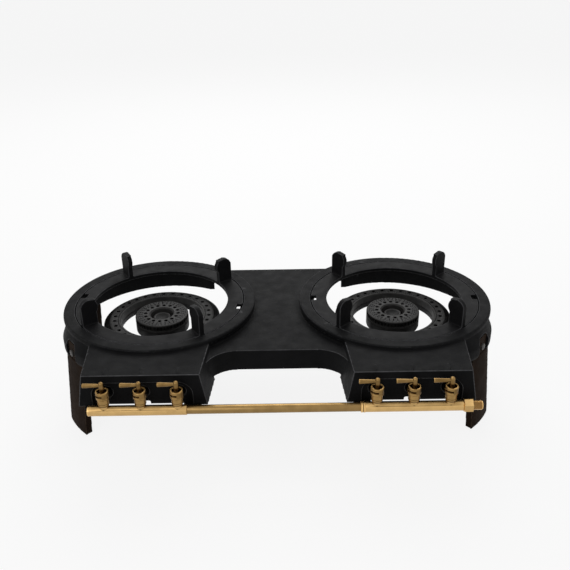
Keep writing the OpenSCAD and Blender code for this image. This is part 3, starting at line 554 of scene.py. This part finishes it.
def port_circles(bm, sectors, rows):
    """The circles of a sector's ports, from rows of radius, port radius and count."""
    circles = []
    for radius, size, count in rows:
        for step in range(count):
            turn = Matrix.Rotation(TURN / sectors * ((step + 0.5) / count - 0.5), 4, "Z")
            place = turn @ Matrix.Translation((radius, 0, 0))
            circle = bmesh.ops.create_circle(bm, segments=PORT_SEGMENTS, radius=size, matrix=place)
            circles.append(circle["verts"])
    return circles


def sink_ports(bm, circles):
    """Gives each port its wall and its floor."""
    for verts in circles:
        touching = {edge for vert in verts for edge in vert.link_edges}
        ring = [edge for edge in touching if all(end in verts for end in edge.verts)]
        wall = bmesh.ops.extrude_edge_only(bm, edges=ring)["geom"]
        low = [item for item in wall if isinstance(item, bmesh.types.BMVert)]
        bmesh.ops.translate(bm, vec=(0, 0, -PORT_DEPTH), verts=low)
        bmesh.ops.contextual_create(bm, geom=[item for item in wall if isinstance(item, bmesh.types.BMEdge)])


def cut_slots(bm, section, band, steps, depth):
    """Sinks every second column of one band of the section, as the flame slots."""
    start, end = (Vector(section[index]) for index in (band, band + 1))
    middle = (start + end) / 2
    chosen = []
    for face in bm.faces:
        centre = face.calc_center_median()
        near = (Vector((centre.xy.length, centre.z)) - middle).length < BAND_REACH
        column = int((math.atan2(centre.y, centre.x) % TURN) / (TURN / steps))
        if near and column % 2:
            chosen.append(face)
    cut = bmesh.ops.extrude_discrete_faces(bm, faces=chosen)
    for face in cut["faces"]:
        bmesh.ops.translate(bm, vec=-face.normal * depth, verts=face.verts)


def ported_head(name, node, finish, sectors, columns, rows, section, band, depth):
    """A ring burner's head: a flat top with sunk ports, and a side with flame slots in one band."""
    outer, inner = (section[index][0] for index in (0, -1))
    bm = bmesh.new()
    flat_sector(bm, inner, outer, sectors, columns)
    circles = port_circles(bm, sectors, rows)
    bmesh.ops.triangle_fill(bm, edges=bm.edges[:], use_beauty=True, normal=(0, 0, 1))
    sink_ports(bm, circles)
    bmesh.ops.spin(bm, geom=bm.verts[:] + bm.edges[:] + bm.faces[:], cent=(0, 0, 0), axis=UP,
                   angle=TURN * (sectors - 1) / sectors, steps=sectors - 1, use_duplicate=True)
    turn = Matrix.Rotation(-TURN / sectors / 2, 4, "Z")
    side = [bm.verts.new(turn @ Vector((radius, 0, height))) for radius, height in section]
    edges = [bm.edges.new(pair) for pair in zip(side, side[1:])]
    steps = sectors * columns
    bmesh.ops.spin(bm, geom=side + edges, cent=(0, 0, 0), axis=UP, angle=TURN, steps=steps, use_merge=True)
    bmesh.ops.remove_doubles(bm, verts=bm.verts, dist=HEAD_WELD)
    bmesh.ops.recalc_face_normals(bm, faces=bm.faces)
    cut_slots(bm, section, band, steps, depth)
    to_place(bm, top_of(node))
    place_piece(name, mesh_of(bm, name), node, finish, HEAD_SMOOTH)


# Rows of ports: radius, port radius, and count in each sector.
OUTER_PORTS = [(74.8, 3.0, 1), (69.0, 1.0, 4)]
MIDDLE_PORTS = [(25.8, 2.9, 1), (31.6, 1.15, 2), (34.8, 1.15, 2), (37.8, 1.0, 3)]

# Sections of the heads from the top's outer edge round to its inner edge: radius and height.
OUTER_SECTION = [(81, 0), (82.5, -0.7), (90.6, -5.1), (92, -6), (92, -11), (65, -11), (65, -1), (66, 0)]
MIDDLE_SECTION = [(39.5, 0), (41.3, -0.8), (42, -2.5), (42, -8), (42, -10), (18, -10), (18, -2), (20, 0)]
CENTRE_SECTION = [(0, -4), (6, -3.6), (9.5, -1.6), (11, -0.2), (12.2, 0), (13.4, -0.8), (14, -2), (14, -6),
                  (0, -6)]


def add_burner_heads(finish):
    """The heads of both hearths: two ported rings and a dished centre."""
    for side in SIDES:
        ported_head("outer_head_" + side, "outer_cap_" + side, finish, sectors=30, columns=10,
                    rows=OUTER_PORTS, section=OUTER_SECTION, band=1, depth=2.2)
        ported_head("middle_head_" + side, "middle_cap_" + side, finish, sectors=16, columns=6,
                    rows=MIDDLE_PORTS, section=MIDDLE_SECTION, band=2, depth=1.6)
        node = "centre_cap_" + side
        turned_piece("centre_head_" + side, node, finish, CENTRE_SECTION, top_of(node), steps=64)


# Brass pieces, in millimetres from each piece's own place.
BONNET_R = 9.25
BONNET_HIGH = 11.0
BONNET_BORE = 3.6
CUP_R = 6.5
BONNET_SLOT = (3.9, 7.3)
BONNET_SLOT_TURN = (math.pi - 0.12, 1.5 * math.pi + 0.12)


def cut_stop_slot(bm):
    """Cuts the slot of the stop pin through the left front of a bonnet's wall, into its cup."""
    chosen = []
    for face in bm.faces:
        centre = face.calc_center_median()
        turn = math.atan2(centre.y, centre.x) % TURN
        in_height = BONNET_SLOT[0] < centre.z < BONNET_SLOT[1]
        in_turn = BONNET_SLOT_TURN[0] < turn < BONNET_SLOT_TURN[1]
        if in_height and in_turn and abs(face.normal.z) < 0.5 and centre.xy.length > CUP_R - 0.5:
            chosen.append(face)
    bmesh.ops.delete(bm, geom=chosen, context="FACES")
    bmesh.ops.bridge_loops(bm, edges=[edge for edge in bm.edges if edge.is_boundary])
    bmesh.ops.recalc_face_normals(bm, faces=bm.faces)


def paint_cup_shade(mesh, place):
    """Paints shade into the inside of a bonnet's cup, and so the inner side of its slot."""
    hollow_shade = mesh.attributes["painted_corner_shade"].data
    for vert in mesh.vertices:
        spot = (vert.co - place) / MM
        if spot.xy.length < CUP_R + 0.1 and spot.z < BONNET_SLOT[1] + 0.1:
            # Painted shade: the inside of the cup is marked as fully shaded
            hollow_shade[vert.index].value = 1.0


def add_bonnet(number, finish):
    """A tap's bonnet: a cup with a rolled rim and the slot of the stop pin."""
    node = "tap_bonnet_%d" % number
    slot_low, slot_high = BONNET_SLOT
    bm = bmesh.new()
    turned(bm, [
        (BONNET_BORE, 0), (8.6, 0), (BONNET_R, 0.5), (BONNET_R, slot_low), (BONNET_R, slot_high),
        (BONNET_R, BONNET_HIGH - 1.2), (9.0, BONNET_HIGH - 0.5), (8.4, BONNET_HIGH), (7.2, BONNET_HIGH),
        (6.7, BONNET_HIGH - 0.4), (CUP_R, BONNET_HIGH - 0.9), (CUP_R, slot_high), (CUP_R, slot_low),
        (BONNET_BORE, slot_low), (BONNET_BORE, 0)], 60)
    cut_stop_slot(bm)
    to_place(bm, foot_of(node))
    bonnet = place_piece("bonnet_%d" % number, mesh_of(bm, "bonnet"), node, finish, TURNED_SMOOTH)
    # Painted shade inside the cup and its slot
    paint_cup_shade(bonnet.data, foot_of(node))


def add_barrel(number, finish):
    """A tap's body: a waisted barrel with a groove, which stands in the pipe's boss."""
    node = "tap_body_%d" % number
    middle = foot_of("tap_bonnet_%d" % number)
    base = Vector((middle.x, middle.y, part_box(node)[0].z))
    tall = (middle.z - base.z) / MM
    turned_piece(
        "tap_barrel_%d" % number, node, finish,
        [(0, 0.2), (6.6, 0.2), (7, 0.6), (7, 1.3), (7.5, 2.2), (8, 3.2), (8, 5), (7.7, 5.3), (7.7, 5.9),
         (8, 6.2), (8, tall - 1.0), (7.3, tall - 0.3), (7.3, tall), (0, tall)], base)


STEM_R = 3.5
HANDLE_HEIGHT = 19.5
PIN_HEIGHT = 5.55
STEM_OUTLINE = [(0, -0.5), (STEM_R, -0.5), (STEM_R, 9.5), (3.3, 9.9), (3.3, 10.5), (STEM_R, 10.9),
                (STEM_R, 21.4), (3.25, 22.6), (2.6, 23.7), (1.6, 24.4), (0.7, 24.65), (0, 24.7)]
HANDLE_OUTLINE = [(0, 0), (2.35, 0), (2.4, 4), (3.25, 23.2), (3.2, 24.5), (2.8, 25.05), (2.1, 25.25),
                  (0, 25.25)]
PIN_OUTLINE = [(0, 2), (1, 2), (1, 8.5), (0.8, 8.75), (0, 8.75)]


def add_lever(number, finish):
    """A tap's stem with its handle and its stop pin, which both point left."""
    bm = bmesh.new()
    parts = (
        (STEM_OUTLINE, 40, Matrix.Identity(4)),
        (HANDLE_OUTLINE, 40, Matrix.Translation((0, 0, HANDLE_HEIGHT)) @ AGAINST_X),
        (PIN_OUTLINE, 16, Matrix.Translation((0, 0, PIN_HEIGHT)) @ AGAINST_X),
    )
    for outline, steps, turn in parts:
        part = bmesh.new()
        turned(part, outline, steps)
        bmesh.ops.transform(part, matrix=turn, verts=part.verts)
        mesh = mesh_of(part, "part")
        bm.from_mesh(mesh)
        bpy.data.meshes.remove(mesh)
    to_place(bm, foot_of("tap_bonnet_%d" % number))
    node = "tap_lever_%d" % number
    place_piece("lever_%d" % number, mesh_of(bm, "lever"), node, finish, TURNED_SMOOTH)


THREAD_PITCH = 1.337
THREAD_R = 6.58
THREAD_ROOT = 5.75
THREAD_START = 20.4


def thread_outline(start, length):
    """The zigzag outline of a thread along Z."""
    points = []
    for step in range(int(length / THREAD_PITCH)):
        height = start + step * THREAD_PITCH
        points += [(THREAD_ROOT, height + 0.1 * THREAD_PITCH), (THREAD_R, height + 0.45 * THREAD_PITCH),
                   (THREAD_R, height + 0.6 * THREAD_PITCH), (THREAD_ROOT, height + 0.95 * THREAD_PITCH)]
    return points


def add_collar(finish):
    """The coupling between the link and the right manifold, with a groove near its left end."""
    low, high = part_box("coupling")
    bore, radius, long = 6.3, (high.z - low.z) / 2 / MM, (high.x - low.x) / MM
    waist = radius - 0.35
    turned_piece("collar", "coupling", finish,
                 [(bore, 0), (radius - 0.5, 0), (radius, 0.5), (radius, 2.4), (waist, 2.8), (waist, 3.4),
                  (radius, 3.8), (radius, long - 0.5), (radius - 0.5, long), (bore, long), (bore, 0)],
                 left_end_of("coupling"), ALONG_X)


def add_end_cap(finish):
    """The flat plug in the pipe's left end."""
    turned_piece("end_cap", "end_plug", finish,
                 [(0, 0.35), (2.6, 0.35), (3.0, 0), (6.5, 0), (7.25, 0.6), (7.25, 2), (6.2, 2), (6.2, 8),
                  (0, 8)],
                 left_end_of("end_plug"), ALONG_X)


def add_inlet(finish):
    """The hexagon nut at the pipe's right end, and the nipple with its thread."""
    eased_piece("inlet_nut", finish, 0.7)
    bore, neck, long = 4, 6.2, 33.5
    outline = [(bore, 0), (neck, 0), (neck, THREAD_START - 1.0), (5.7, THREAD_START)]
    outline += thread_outline(THREAD_START, long - 1.0 - THREAD_START)
    outline += [(5.8, long - 0.9), (5.6, long), (4.6, long), (bore, long - 0.6), (bore, 0)]
    turned_piece("inlet_thread", "inlet_nipple", finish, outline, left_end_of("inlet_nipple"), ALONG_X,
                 steps=56)


def add_pipes(finish, shaded_link_finish):
    """The gas pipe from its left end to its inlet, and the jets."""
    for side in SIDES:
        eased_piece("manifold_" + side, finish, 0.35)
    # The link pipe takes the darker brass with painted shade
    eased_piece("link_pipe", shaded_link_finish, 0.35)
    add_collar(finish)
    add_end_cap(finish)
    add_inlet(finish)
    eased_piece("jets", finish, 0.3)


add_camera()
bpy.context.scene.view_settings.view_transform = "Standard"
add_world()
add_floor()
for lamp in LAMPS:
    add_lamp(*lamp)

# The edge colours are wear with a painted highlight; the hollows take painted shade
BODY_IRON = cast_iron(
    "body_iron", dark=(0.0024, 0.0025, 0.0028), pale=(0.0060, 0.0061, 0.0066), edge=(0.11, 0.11, 0.115),
    gloss=0.070, roughness=0.64)
TRIVET_IRON = cast_iron(
    "trivet_iron", dark=(0.0030, 0.0030, 0.0034), pale=(0.0075, 0.0075, 0.0080), edge=(0.08, 0.08, 0.084),
    gloss=0.080, roughness=0.60, grain=0.8)
BURNER_IRON = cast_iron(
    "burner_iron", dark=(0.004, 0.004, 0.004), pale=(0.010, 0.0098, 0.0095), edge=(0.03, 0.029, 0.028),
    gloss=0.14, roughness=0.5, grain=1.4)
LEG_IRON = cast_iron(
    "leg_iron", dark=(0.010, 0.0058, 0.0034), pale=(0.021, 0.0125, 0.0078), edge=(0.06, 0.042, 0.030),
    gloss=0.05, roughness=0.78, grain=0.7)
PIPE_MARKS = (40, 900, 900)
PIPE_BRASS = brass("pipe_brass", PIPE_MARKS, dark=(0.38, 0.240, 0.092), pale=(0.53, 0.345, 0.140))
# The link pipe's brass is a darker copy of the pipe brass, with shade painted in
SHADED_LINK_BRASS = brass("shaded_link_brass", PIPE_MARKS, dark=(0.17, 0.105, 0.038), pale=(0.25, 0.160, 0.062))
# The taps' brass is a darker copy of the pipe brass, with shade painted in
SHADED_TAP_BRASS = brass("shaded_tap_brass", (120, 120, 1600), dark=(0.14, 0.083, 0.028), pale=(0.24, 0.149, 0.054))
DARK_STEEL = dark_steel("dark_steel")

cast_piece("stove_body", BODY_IRON, grid=1.0, rounds=4, keep=0.24)
for side in SIDES:
    cast_piece("trivet_" + side, TRIVET_IRON, grid=0.9, rounds=3, keep=0.5)
    for burner in ("outer", "middle", "centre"):
        cast_piece(burner + "_base_" + side, BURNER_IRON, grid=1.4, rounds=3, keep=0.35)
    for end in ("front", "back"):
        cast_piece("leg_" + end + "_" + side, LEG_IRON, grid=1.0, rounds=3, keep=0.4)
    eased_piece("burner_bar_" + side, DARK_STEEL, 0.8)
for number in CLIPS:
    cast_piece("clip_%d" % number, BODY_IRON, grid=0.5, rounds=2, keep=0.5)
for node in ("leg_screws", "leg_nuts", "bar_screws", "clip_screws"):
    eased_piece(node, DARK_STEEL, 0.45)
add_burner_heads(BURNER_IRON)
add_pipes(PIPE_BRASS, SHADED_LINK_BRASS)
for number in TAPS:
    add_bonnet(number, SHADED_TAP_BRASS)
    add_barrel(number, SHADED_TAP_BRASS)
    add_lever(number, SHADED_TAP_BRASS)
